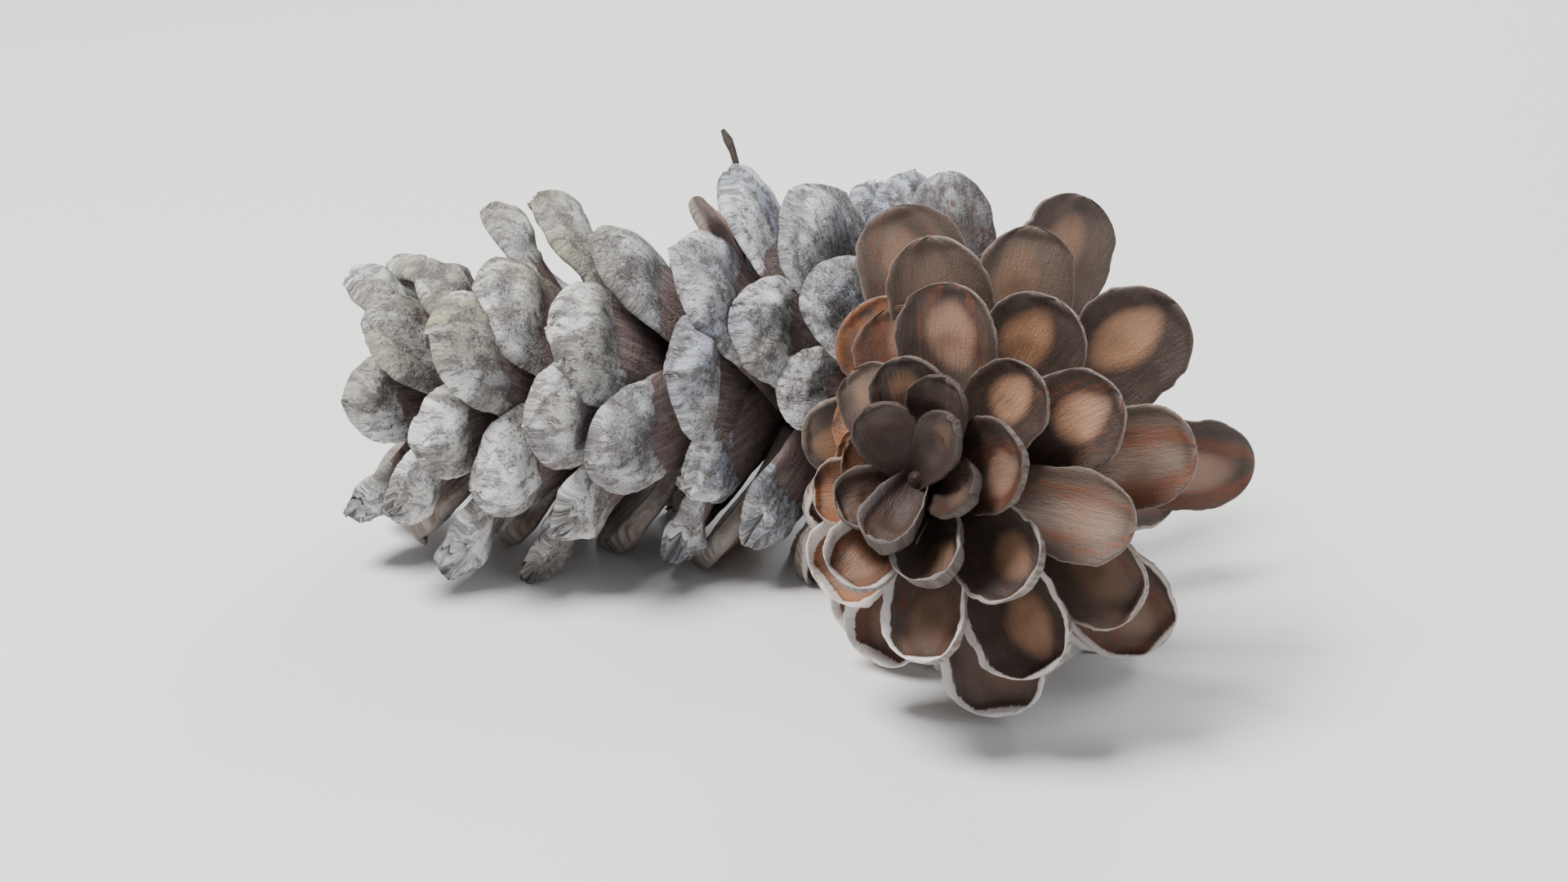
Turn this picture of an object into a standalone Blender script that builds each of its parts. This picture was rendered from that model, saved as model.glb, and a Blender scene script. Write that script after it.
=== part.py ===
"""An old, open pine cone lying on its side: a long curved cone of the white-pine kind.

The cone grew in one piece: a woody axis, a broken stalk at its base, and the scales, set on
the axis in a golden-angle spiral. Its base is at -X. The axis runs towards +X and bends to the
side, so that the tip faces -Y and a little back towards -X. +Z is up, and the cone rests on
z = 0.
"""

import math
import random

import bmesh
import bpy
from mathutils import Vector

MM = 0.001

# Driving dimensions of the woody axis, in millimetres and degrees. The bend fades in and out.
STRAIGHT_AT_BASE = 45.0
BEND_LENGTH = 80.0
STRAIGHT_AT_TIP = 11.0
BEND_ANGLE = 116.0
BEND_FADE = 0.25
AXIS_LENGTH = STRAIGHT_AT_BASE + BEND_LENGTH + STRAIGHT_AT_TIP
BASE_HEIGHT = 26.6
AXIS_STEP = 0.5
AXIS_SIDES = 10
AXIS_RING_GAP = 8.0
TIP_POINT_LENGTH = 2.0
TIP_POINT_SHARE = 0.4

# The broken stalk at the base, the same wood as the axis
STALK_LENGTH = 6.5
STALK_RADIUS = 3.4
STALK_ROOT_LENGTH = 1.3

# The spiral of scales
SCALE_GAP = 1.15
FIRST_SCALE = 2.5
LAST_SCALE = AXIS_LENGTH - 0.5
GOLDEN_ANGLE = 137.508
FIRST_AZIMUTH = 240.0
SEED = 11

# How the cone changes from its base (0) to its tip (1). Each profile is pairs of place and value.
AXIS_RISE = ((0.0, 2.0), (0.5, 2.4), (0.78, 5.0), (1.0, 34.0))
AXIS_RADIUS = ((0.0, 5.0), (0.2, 6.6), (0.8, 6.2), (1.0, 2.2))
GAP_FACTOR = (
    (0.0, 1.1), (0.2, 1.2), (0.35, 1.15), (0.45, 1.0),
    (0.65, 1.0), (0.82, 0.85), (1.0, 0.58),
)
LENGTH = (
    (0.0, 17.5), (0.06, 22.5), (0.16, 27.0), (0.4, 28.5),
    (0.6, 30.5), (0.8, 30.5), (0.9, 25.5), (1.0, 11.0),
)
HALF_WIDTH = (
    (0.0, 5.8), (0.08, 7.3), (0.2, 8.5), (0.45, 8.8),
    (0.65, 7.8), (0.85, 7.6), (0.94, 6.6), (1.0, 3.8),
)
ROOT_ANGLE = (
    (0.0, 122.0), (0.15, 118.0), (0.42, 112.0), (0.6, 98.0),
    (0.78, 80.0), (0.92, 62.0), (1.0, 34.0),
)
TIP_ANGLE = (
    (0.0, 146.0), (0.15, 138.0), (0.42, 132.0), (0.6, 112.0),
    (0.78, 92.0), (0.92, 76.0), (1.0, 50.0),
)
CUP = ((0.0, -0.28), (0.4, -0.22), (0.62, 0.1), (0.8, 0.26), (1.0, 0.4))
THICKENING = ((0.0, 1.0), (0.2, 1.2), (0.5, 1.15), (0.75, 0.85), (1.0, 0.75))
WIDEST_AT = ((0.0, 0.66), (0.5, 0.66), (0.65, 0.74), (1.0, 0.74))
NECK_SHARE = ((0.0, 0.9), (0.5, 0.9), (0.65, 0.5), (1.0, 0.42))
TIP_POWER = ((0.0, 1.7), (0.5, 1.7), (0.65, 2.2), (1.0, 2.2))
TIP_ROUNDING = ((0.0, 0.66), (0.5, 0.66), (0.65, 0.5), (1.0, 0.5))

# How much each scale differs from its neighbours
AZIMUTH_SPREAD = 6.0
ANGLE_SPREAD = 8.0
LENGTH_SPREAD = 0.09
WIDTH_SPREAD = 0.10

# Scales inside the bend and under the cone had less room to grow
CROWDING = ((0.0, 0.0), (0.3, 0.0), (0.45, 0.45), (0.9, 0.45), (1.0, 0.2))
PRESSING = 0.05
CROWDED_OUT = 0.32

# One scale, as shares of its length and half width, with half thicknesses in millimetres
STATIONS = (0.0, 0.36, 0.68, 0.88, 0.985)
SHOULDER_POWER = 1.4
HALF_THICKNESS = ((0.0, 1.5), (0.3, 1.15), (0.6, 1.1), (0.8, 1.35), (0.95, 1.0), (1.0, 0.7))
RIM_SHARE = 0.42
ROOT_DEPTH = 2.6
CUP_BALANCE = 0.5

# A dried thread of wood that stands up behind the upper scales
THREAD_PLACE = 0.36
THREAD_RADII = ((0.0, 1.3), (1.0, 0.6))
THREAD_LENGTH = 40.5
THREAD_STATIONS = (0.0, 0.4, 0.84, 0.92, 1.0)
THREAD_SIDES = 5
HOOK_START = 0.84
HOOK_REACH = 14.0
THREAD_UP = 0.85
THREAD_LEFT = 0.52

# The flat spots that the lowest scales rest on, in millimetres, and the cutter, in metres
FLAT_DEPTH = 1.1
CUTTER_SIZE = 0.4

# The wood, as a linear colour and a roughness
WOOD_COLOUR = (0.30, 0.22, 0.17)
WOOD_ROUGHNESS = 0.8


def along(profile, place):
    """The value of a profile at a place, on the straight line between its pairs."""
    for (low, before), (high, after) in zip(profile, profile[1:]):
        if place <= high:
            share = max(0.0, (place - low) / (high - low))
            return before + (after - before) * share
    return profile[-1][1]


def bend_share(distance):
    """How much of the full bend's curvature the axis has at a distance from its base."""
    share = (distance - STRAIGHT_AT_BASE) / BEND_LENGTH
    return max(0.0, min(1.0, share / BEND_FADE, (1 - share) / BEND_FADE))


def axis_line():
    """Points, headings and rises along the axis, every AXIS_STEP, in millimetres and radians."""
    full_turn = math.radians(BEND_ANGLE) / (BEND_LENGTH * (1 - BEND_FADE))
    point, heading, line = Vector((0, 0, BASE_HEIGHT)), 0.0, []
    for step in range(round(AXIS_LENGTH / AXIS_STEP) + 1):
        distance = step * AXIS_STEP
        rise = math.radians(along(AXIS_RISE, distance / AXIS_LENGTH))
        line.append((point.copy(), heading, rise))
        heading -= full_turn * bend_share(distance) * AXIS_STEP
        point += direction(heading, rise) * AXIS_STEP
    return line


def direction(heading, rise):
    """The unit direction with a heading in the ground plane and a rise above it."""
    level = math.cos(rise)
    return Vector((math.cos(heading) * level, math.sin(heading) * level, math.sin(rise)))


def frame_at(distance):
    """Point, direction to the tip, and two directions across the axis, at a distance from its base."""
    nearest = max(0, min(len(AXIS) - 1, round(distance / AXIS_STEP)))
    point, heading, rise = AXIS[nearest]
    forward = direction(heading, rise)
    left = Vector((-math.sin(heading), math.cos(heading), 0))
    return point, forward, left, forward.cross(left)


AXIS = axis_line()


def scale_list():
    """Every scale's place, direction and size, from the base to the tip.

    Where the bend crowds them most, every other one never grew.
    """
    draw = random.Random(SEED)
    scales, count, distance = [], 0, FIRST_SCALE
    while distance < LAST_SCALE:
        place = distance / AXIS_LENGTH
        point, forward, left, up = frame_at(distance)
        turn = FIRST_AZIMUTH + GOLDEN_ANGLE * count + draw.uniform(-1, 1) * AZIMUTH_SPREAD
        azimuth = math.radians(turn)
        outward = left * math.cos(azimuth) + up * math.sin(azimuth)
        crowded = along(CROWDING, place) * max(0.0, -outward.dot(left)) ** 2
        pressed = PRESSING * max(0.0, -outward.z) ** 2
        room = (1 - crowded) * (1 - pressed)
        lean = draw.uniform(-1, 1) * ANGLE_SPREAD
        longer = 1 + draw.uniform(-1, 1) * LENGTH_SPREAD
        wider = 1 + draw.uniform(-1, 1) * WIDTH_SPREAD
        count += 1
        distance += SCALE_GAP * along(GAP_FACTOR, place)
        if crowded > CROWDED_OUT and count % 2:
            continue
        scales.append(
            {
                "place": place,
                "root": point + outward * (along(AXIS_RADIUS, place) - ROOT_DEPTH),
                "forward": forward,
                "outward": outward,
                "side": forward.cross(outward),
                "root_angle": math.radians(along(ROOT_ANGLE, place) + lean),
                "tip_angle": math.radians(along(TIP_ANGLE, place) + lean),
                "length": along(LENGTH, place) * room * longer + ROOT_DEPTH,
                "half_width": along(HALF_WIDTH, place) * math.sqrt(room) * wider,
                "cup": along(CUP, place),
            }
        )
    return scales


def outline(place, share):
    """Half width of a scale at a share of its length: a narrower neck, a wide blade, a round tip."""
    widest, neck = along(WIDEST_AT, place), along(NECK_SHARE, place)
    if share <= widest:
        return neck + (1 - neck) * math.sin(share / widest * math.pi / 2) ** SHOULDER_POWER
    fall = (share - widest) / (1 - widest)
    return max(0.0, 1 - fall ** along(TIP_POWER, place)) ** along(TIP_ROUNDING, place)


def section(scale, share):
    """Six points round a scale at a share of its length: the upper face, then the lower one."""
    start, turn = scale["root_angle"], scale["tip_angle"] - scale["root_angle"]
    angle = start + turn * share
    reach = (math.sin(angle) - math.sin(start)) / turn
    rise = (math.cos(start) - math.cos(angle)) / turn
    forward, outward, side = scale["forward"], scale["outward"], scale["side"]
    centre = scale["root"] + (forward * reach + outward * rise) * scale["length"]
    normal = forward * math.sin(angle) - outward * math.cos(angle)
    place = scale["place"]
    half_width = scale["half_width"] * outline(place, share)
    half_depth = along(HALF_THICKNESS, share) * along(THICKENING, place)
    rim = half_depth * RIM_SHARE
    lift = scale["cup"] * half_width * outline(place, share)
    ring = []
    for across, depth in ((-1, rim), (0, half_depth), (1, rim), (1, -rim), (0, -half_depth), (-1, -rim)):
        rolled = lift * (abs(across) - CUP_BALANCE)
        ring.append(centre + side * (across * half_width) + normal * (depth + rolled))
    return ring


def loft(name, rings, collection):
    """A closed mesh object through rings of points in millimetres, each with the same count."""
    mesh = bmesh.new()
    rows = [[mesh.verts.new(point * MM) for point in ring] for ring in rings]
    for row, following in zip(rows, rows[1:]):
        for i in range(len(row)):
            j = (i + 1) % len(row)
            mesh.faces.new((row[i], row[j], following[j], following[i]))
    mesh.faces.new(rows[0][::-1])
    mesh.faces.new(rows[-1])
    bmesh.ops.triangulate(mesh, faces=mesh.faces[:])
    bmesh.ops.recalc_face_normals(mesh, faces=mesh.faces[:])
    data = bpy.data.meshes.new(name)
    mesh.to_mesh(data)
    mesh.free()
    made = bpy.data.objects.new(name, data)
    collection.objects.link(made)
    return made


def make_axis(collection):
    """The woody axis, with the stalk that carries it at the base and a blunt point at the tip."""
    rings = []

    def ring(point, left, up, radius):
        turns = [2 * math.pi * i / AXIS_SIDES for i in range(AXIS_SIDES)]
        rings.append([point + (left * math.cos(t) + up * math.sin(t)) * radius for t in turns])

    point, forward, left, up = frame_at(0)
    ring(point - forward * STALK_LENGTH, left, up, STALK_RADIUS)
    ring(point - forward * STALK_ROOT_LENGTH, left, up, STALK_RADIUS)
    count = round(AXIS_LENGTH / AXIS_RING_GAP)
    for i in range(count + 1):
        point, forward, left, up = frame_at(AXIS_LENGTH * i / count)
        ring(point, left, up, along(AXIS_RADIUS, i / count))
    ring(point + forward * TIP_POINT_LENGTH, left, up, along(AXIS_RADIUS, 1.0) * TIP_POINT_SHARE)
    return loft("pine_cone", rings, collection)


def make_thread(collection):
    """The dried thread of wood: a thin hooked prong, rooted on the axis among the upper scales."""
    point, forward, left, up = frame_at(THREAD_PLACE * AXIS_LENGTH)
    lean = (up * THREAD_UP + left * THREAD_LEFT).normalized()
    rings = []
    for share in THREAD_STATIONS:
        hook = max(0.0, share - HOOK_START) * HOOK_REACH
        centre = point + lean * (share * THREAD_LENGTH) - forward * hook
        radius = along(THREAD_RADII, share)
        turns = [2 * math.pi * i / THREAD_SIDES for i in range(THREAD_SIDES)]
        rings.append([centre + (forward * math.cos(t) + left * math.sin(t)) * radius for t in turns])
    return loft("thread", rings, collection)


def wood(name, colour, roughness):
    """A plain woody material."""
    material = bpy.data.materials.new(name)
    material.use_nodes = True
    shader = material.node_tree.nodes["Principled BSDF"]
    shader.inputs["Base Color"].default_value = (*colour, 1)
    shader.inputs["Roughness"].default_value = roughness
    shader.inputs["Metallic"].default_value = 0.0
    return material


def apply_modifiers(target):
    """The evaluated mesh takes the place of the object's own, with no modifier left."""
    bpy.context.view_layer.update()
    evaluated = target.evaluated_get(bpy.context.evaluated_depsgraph_get())
    data = bpy.data.meshes.new_from_object(evaluated)
    target.modifiers.clear()
    target.data = data


def boolean(target, operation, other):
    """Joins or cuts the target with an object or with a collection's objects, and applies it."""
    modifier = target.modifiers.new(operation.lower(), "BOOLEAN")
    modifier.operation = operation
    modifier.solver = "MANIFOLD"
    if isinstance(other, bpy.types.Collection):
        modifier.operand_type = "COLLECTION"
        modifier.collection = other
    else:
        modifier.object = other
    apply_modifiers(target)


def cut_flat_spots(target, collection):
    """Takes off what would reach under the surface that the cone lies on."""
    bpy.ops.mesh.primitive_cube_add(size=CUTTER_SIZE, location=(0, 0, FLAT_DEPTH * MM - CUTTER_SIZE / 2))
    block = bpy.context.object
    for owner in block.users_collection:
        owner.objects.unlink(block)
    collection.objects.link(block)
    boolean(target, "DIFFERENCE", block)
    bpy.data.objects.remove(block)


def centre(target):
    """Puts the origin under the middle of the cone's box, on the surface."""
    corners = [vertex.co for vertex in target.data.vertices]
    low = Vector([min(corner[i] for corner in corners) for i in range(3)])
    high = Vector([max(corner[i] for corner in corners) for i in range(3)])
    shift = Vector(((low.x + high.x) / 2, (low.y + high.y) / 2, low.z))
    for vertex in target.data.vertices:
        vertex.co -= shift
    return shift


def main():
    for old in list(bpy.data.objects):
        bpy.data.objects.remove(old)
    cone_collection = bpy.data.collections.new("pine_cone")
    scale_collection = bpy.data.collections.new("scales")
    for collection in (cone_collection, scale_collection):
        bpy.context.scene.collection.children.link(collection)
    scale_collection.hide_render = True

    cone = make_axis(cone_collection)
    scales = scale_list()
    for index, scale in enumerate(scales):
        rings = [section(scale, share) for share in STATIONS]
        loft(f"scale_{index:03d}", rings, scale_collection)
    make_thread(scale_collection)
    boolean(cone, "UNION", scale_collection)
    cut_flat_spots(cone, scale_collection)
    for used in list(scale_collection.objects):
        bpy.data.objects.remove(used)
    shift = centre(cone)
    cone.data.materials.clear()
    cone.data.materials.append(wood("cone_scales", WOOD_COLOUR, WOOD_ROUGHNESS))
    triangles = sum(len(face.vertices) - 2 for face in cone.data.polygons)
    print("scales", len(scales), "triangles", triangles)
    print("shift in mm", [round(value / MM, 3) for value in shift])


main()
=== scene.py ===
import math
import random

import bpy
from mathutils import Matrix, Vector


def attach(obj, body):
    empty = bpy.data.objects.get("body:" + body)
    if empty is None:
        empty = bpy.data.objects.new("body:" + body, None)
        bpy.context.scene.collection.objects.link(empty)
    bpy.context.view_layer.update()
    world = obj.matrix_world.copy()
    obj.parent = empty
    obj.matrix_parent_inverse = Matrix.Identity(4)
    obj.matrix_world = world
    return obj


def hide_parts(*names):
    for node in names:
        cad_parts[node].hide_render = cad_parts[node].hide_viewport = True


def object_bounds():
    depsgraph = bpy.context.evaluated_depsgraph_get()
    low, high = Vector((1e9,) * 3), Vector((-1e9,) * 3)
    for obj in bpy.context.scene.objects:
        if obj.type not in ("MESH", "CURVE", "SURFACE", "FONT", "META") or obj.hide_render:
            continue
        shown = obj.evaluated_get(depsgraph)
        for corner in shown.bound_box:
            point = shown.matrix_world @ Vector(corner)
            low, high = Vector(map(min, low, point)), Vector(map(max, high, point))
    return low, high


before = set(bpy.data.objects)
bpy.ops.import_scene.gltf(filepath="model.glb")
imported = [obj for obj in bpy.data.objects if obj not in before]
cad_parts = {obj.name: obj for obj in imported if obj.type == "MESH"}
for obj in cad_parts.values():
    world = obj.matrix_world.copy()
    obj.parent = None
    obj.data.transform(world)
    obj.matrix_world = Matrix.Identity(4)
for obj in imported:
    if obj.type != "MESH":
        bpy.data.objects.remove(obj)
cadBox = [list(corner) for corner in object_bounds()]
print("frame loaded", cadBox)

mm = 0.001
scene = bpy.context.scene


# the cone's own growth, the same rule and the same random draws as its solid, in mm and degrees
cone = {
    "seed": 11,
    "straightAtBase": 45.0,
    "bendLength": 80.0,
    "straightAtTip": 11.0,
    "bendAngle": 116.0,
    "bendFade": 0.25,  # share of the bend in which it starts and ends
    "baseHeight": 26.6,
    "axisStep": 0.5,
    "scaleGap": 1.15,
    "firstScale": 2.5,
    "endMargin": 0.5,
    "goldenAngle": 137.508,
    "firstAzimuth": 240.0,
    "azimuthSpread": 6.0,
    "angleSpread": 8.0,
    "lengthSpread": 0.09,
    "widthSpread": 0.10,
    "pressing": 0.05,
    "crowdedOut": 0.32,
    "rootDepth": 2.6,
    "flatDepth": 1.1,  # this height becomes the surface that the cone rests on
    # values along the axis from the base (0) to the tip (1), as pairs of place and value
    "profiles": {
        "axisRise": ((0.0, 2.0), (0.5, 2.4), (0.78, 5.0), (1.0, 34.0)),
        "axisRadius": ((0.0, 5.0), (0.2, 6.6), (0.8, 6.2), (1.0, 2.2)),
        "gapFactor": (
            (0.0, 1.1), (0.2, 1.2), (0.35, 1.15), (0.45, 1.0),
            (0.65, 1.0), (0.82, 0.85), (1.0, 0.58),
        ),
        "length": (
            (0.0, 17.5), (0.06, 22.5), (0.16, 27.0), (0.4, 28.5),
            (0.6, 30.5), (0.8, 30.5), (0.9, 25.5), (1.0, 11.0),
        ),
        "halfWidth": (
            (0.0, 5.8), (0.08, 7.3), (0.2, 8.5), (0.45, 8.8),
            (0.65, 7.8), (0.85, 7.6), (0.94, 6.6), (1.0, 3.8),
        ),
        "rootAngle": (
            (0.0, 122.0), (0.15, 118.0), (0.42, 112.0), (0.6, 98.0),
            (0.78, 80.0), (0.92, 62.0), (1.0, 34.0),
        ),
        "tipAngle": (
            (0.0, 146.0), (0.15, 138.0), (0.42, 132.0), (0.6, 112.0),
            (0.78, 92.0), (0.92, 76.0), (1.0, 50.0),
        ),
        "cup": ((0.0, -0.28), (0.4, -0.22), (0.62, 0.1), (0.8, 0.26), (1.0, 0.4)),
        "crowding": ((0.0, 0.0), (0.3, 0.0), (0.45, 0.45), (0.9, 0.45), (1.0, 0.2)),
        "thickening": ((0.0, 1.0), (0.2, 1.2), (0.5, 1.15), (0.75, 0.85), (1.0, 0.75)),
        "widestAt": ((0.0, 0.66), (0.5, 0.66), (0.65, 0.74), (1.0, 0.74)),
        "neckShare": ((0.0, 0.9), (0.5, 0.9), (0.65, 0.5), (1.0, 0.42)),
        "tipPower": ((0.0, 1.7), (0.5, 1.7), (0.65, 2.2), (1.0, 2.2)),
        "tipRounding": ((0.0, 0.66), (0.5, 0.66), (0.65, 0.5), (1.0, 0.5)),
        # what only the looks have
        "spoon": ((0.0, 0.0), (0.6, 0.0), (0.75, 0.25), (1.0, 0.25)),
        "fineWidth": ((0.0, 1.06), (0.3, 1.06), (0.37, 1.14), (0.5, 1.14), (0.6, 1.0), (1.0, 1.0)),
        "inwardShow": ((0.0, 0.0), (0.55, 0.0), (0.65, 1.0), (1.0, 1.0)),
    },
    "weathering": ((0.0, 1.0), (0.5, 1.0), (0.6, 0.0), (1.0, 0.0)),
    "topWeathering": 0.09,  # how much nearer the tip the top side is still weathered
    "shelter": ((0.0, 1.0), (0.86, 1.0), (0.95, 0.0), (1.0, 0.0)),  # against how far down a scale points
    "fineLength": 0.985,  # the fine scales stay inside the solid's box
    "brownScale": 38,  # one upper scale of the weathered half is still brown
    "splitPlace": 0.5,  # between the two pieces of scales
    "boxShare": 0.999,  # share of the solid's box that the fine shape fills at most
    "pressedHeight": 1.0,  # points below this are pressed towards the surface
}
cone["axisLength"] = cone["straightAtBase"] + cone["bendLength"] + cone["straightAtTip"]
profiles = cone["profiles"]


def along(profile, place):
    for (low, before), (high, after) in zip(profile, profile[1:]):
        if place <= high:
            share = max(0.0, (place - low) / (high - low))
            return before + (after - before) * share
    return profile[-1][1]


def direction(heading, rise):
    level = math.cos(rise)
    return Vector((math.cos(heading) * level, math.sin(heading) * level, math.sin(rise)))


def bendShare(distance):
    share = (distance - cone["straightAtBase"]) / cone["bendLength"]
    return max(0.0, min(1.0, share / cone["bendFade"], (1 - share) / cone["bendFade"]))


def axisLine():
    step = cone["axisStep"]
    fullTurn = math.radians(cone["bendAngle"]) / (cone["bendLength"] * (1 - cone["bendFade"]))
    point, heading, line = Vector((0, 0, cone["baseHeight"])), 0.0, []
    for index in range(round(cone["axisLength"] / step) + 1):
        distance = index * step
        rise = math.radians(along(profiles["axisRise"], distance / cone["axisLength"]))
        line.append((point.copy(), heading, rise))
        heading -= fullTurn * bendShare(distance) * step
        point += direction(heading, rise) * step
    return line


axis = axisLine()


def frameAt(distance):
    nearest = max(0, min(len(axis) - 1, round(distance / cone["axisStep"])))
    point, heading, rise = axis[nearest]
    forward = direction(heading, rise)
    left = Vector((-math.sin(heading), math.cos(heading), 0))
    return point, forward, left, forward.cross(left)


def scaleList():
    draw = random.Random(cone["seed"])
    scales, count, distance = [], 0, cone["firstScale"]
    while distance < cone["axisLength"] - cone["endMargin"]:
        place = distance / cone["axisLength"]
        here = {name: along(profile, place) for name, profile in profiles.items()}
        point, forward, left, up = frameAt(distance)
        turn = cone["firstAzimuth"] + cone["goldenAngle"] * count
        azimuth = math.radians(turn + draw.uniform(-1, 1) * cone["azimuthSpread"])
        outward = left * math.cos(azimuth) + up * math.sin(azimuth)
        raised, lowered = max(0.0, outward.z), max(0.0, -outward.z)
        crowded = here["crowding"] * max(0.0, -outward.dot(left)) ** 2
        pressed = cone["pressing"] * lowered ** 2
        room = (1 - crowded) * (1 - pressed)
        lean = draw.uniform(-1, 1) * cone["angleSpread"]
        longer = 1 + draw.uniform(-1, 1) * cone["lengthSpread"]
        wider = 1 + draw.uniform(-1, 1) * cone["widthSpread"]
        rootAngle = math.radians(here["rootAngle"] + lean)
        tipAngle = math.radians(here["tipAngle"] + lean)
        freeLength = here["length"] * room * longer * cone["fineLength"]
        weathering = along(cone["weathering"], place - cone["topWeathering"] * raised)
        count += 1
        distance += cone["scaleGap"] * here["gapFactor"]
        if crowded > cone["crowdedOut"] and count % 2:
            continue
        scales.append({
            "place": place,
            "root": point + outward * (here["axisRadius"] - cone["rootDepth"]),
            "forward": forward,
            "outward": outward,
            "rootAngle": rootAngle,
            "turnAngle": tipAngle - rootAngle,
            "scaleLength": freeLength + cone["rootDepth"],
            "halfWidth": here["halfWidth"] * math.sqrt(room) * wider * here["fineWidth"],
            "cup": here["cup"] + here["spoon"] * lowered,
            "thickness": here["thickening"],
            "widestAt": here["widestAt"],
            "neckShare": here["neckShare"],
            "tipPower": here["tipPower"],
            "tipRounding": here["tipRounding"],
            "weathering": weathering * along(cone["shelter"], lowered),
            "lowered": lowered,
            "inward": max(0.0, -outward.x) * here["inwardShow"],
        })
    scales[cone["brownScale"]]["weathering"] = 0.0
    return scales


# node trees, for shapes and for materials

class Wire:
    # one output of a node; arithmetic on it adds Math or Vector Math nodes
    def __init__(self, maker, socket):
        self.maker = maker
        self.socket = socket

    def __add__(self, other):
        return self.maker.math("ADD", self, other)

    def __radd__(self, other):
        return self.maker.math("ADD", other, self)

    def __sub__(self, other):
        return self.maker.math("SUBTRACT", self, other)

    def __rsub__(self, other):
        return self.maker.math("SUBTRACT", other, self)

    def __mul__(self, other):
        return self.maker.math("MULTIPLY", self, other)

    def __rmul__(self, other):
        return self.maker.math("MULTIPLY", other, self)

    def __truediv__(self, other):
        return self.maker.math("DIVIDE", self, other)

    def __rtruediv__(self, other):
        return self.maker.math("DIVIDE", other, self)

    def __pow__(self, other):
        return self.maker.math("POWER", self, other)

    def __rpow__(self, other):
        return self.maker.math("POWER", other, self)


class Maker:
    # adds nodes to one tree
    def __init__(self, tree):
        self.tree = tree

    def add(self, kind, settings=None, inputs=None, output=0):
        node = self.tree.nodes.new(kind)
        for name, value in (settings or {}).items():
            if name == "curve":
                self.setCurve(node, value)
            else:
                setattr(node, name, value)
        for key, value in (inputs or {}).items():
            self.put(node.inputs[key], value)
        return Wire(self, node.outputs[output]) if node.outputs else None

    def put(self, socket, value):
        if isinstance(value, Wire):
            self.tree.links.new(value.socket, socket)
        else:
            socket.default_value = value

    def setCurve(self, node, points):
        curve = node.mapping.curves[0]
        while len(curve.points) < len(points):
            curve.points.new(0.5, 0.5)
        for point, (x, y) in zip(curve.points, points):
            point.location = (x, y)
        node.mapping.update()

    def isVector(self, value):
        if isinstance(value, Wire):
            return value.socket.type in ("VECTOR", "RGBA")
        return isinstance(value, (tuple, list, Vector))

    def math(self, operation, *values):
        if not any(self.isVector(value) for value in values):
            return self.add("ShaderNodeMath", {"operation": operation}, dict(enumerate(values)))
        if operation == "MULTIPLY" and not all(self.isVector(value) for value in values):
            vector, factor = sorted(values, key=self.isVector, reverse=True)
            settings = {"operation": "SCALE"}
            return self.add("ShaderNodeVectorMath", settings, {0: vector, "Scale": factor})
        return self.add("ShaderNodeVectorMath", {"operation": operation}, dict(enumerate(values)))

    def cross(self, first, second):
        return self.add("ShaderNodeVectorMath", {"operation": "CROSS_PRODUCT"}, {0: first, 1: second})

    def vector(self, x, y, z):
        return self.add("ShaderNodeCombineXYZ", None, {0: x, 1: y, 2: z})

    def parts(self, vector):
        # the three numbers of a vector
        first = self.add("ShaderNodeSeparateXYZ", None, {0: vector})
        return [Wire(self, socket) for socket in first.socket.node.outputs]

    def step(self, value, low, high):
        # 0 below low, 1 above high, smooth between
        settings = {"interpolation_type": "SMOOTHSTEP"}
        return self.add("ShaderNodeMapRange", settings, {"Value": value, "From Min": low, "From Max": high})

    def noise(self, vector, size, detail, roughness=0.5):
        inputs = {"Vector": vector, "Scale": size, "Detail": detail, "Roughness": roughness}
        return self.add("ShaderNodeTexNoise", None, inputs)


def newTree(name, inputs):
    # a geometry tree whose group inputs are named with their kinds and first values
    tree = bpy.data.node_groups.new(name, "GeometryNodeTree")
    tree.interface.new_socket("Geometry", in_out="INPUT", socket_type="NodeSocketGeometry")
    for label, (kind, value) in inputs.items():
        socket = tree.interface.new_socket(label, in_out="INPUT", socket_type=kind)
        if value is not None:
            socket.default_value = value
    tree.interface.new_socket("Geometry", in_out="OUTPUT", socket_type="NodeSocketGeometry")
    make = Maker(tree)
    group = make.add("NodeGroupInput").socket.node
    given = {socket.name: Wire(make, socket) for socket in group.outputs if socket.name}
    return tree, make, given


def growPiece(name, source, tree, values):
    # runs a geometry tree on a source mesh and keeps only the plain mesh that it gives
    holder = bpy.data.objects.new(name, source)
    scene.collection.objects.link(holder)
    modifier = holder.modifiers.new("growth", "NODES")
    modifier.node_group = tree
    for item in tree.interface.items_tree:
        if item.in_out == "INPUT" and item.name in values:
            modifier[item.identifier] = values[item.name]
    bpy.context.view_layer.update()
    evaluated = holder.evaluated_get(bpy.context.evaluated_depsgraph_get())
    grown = bpy.data.meshes.new_from_object(evaluated)
    holder.modifiers.clear()
    holder.data = grown
    grown.name = name
    bpy.data.meshes.remove(source)
    print(name, "triangles", sum(len(face.vertices) - 2 for face in grown.polygons))
    return holder


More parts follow.
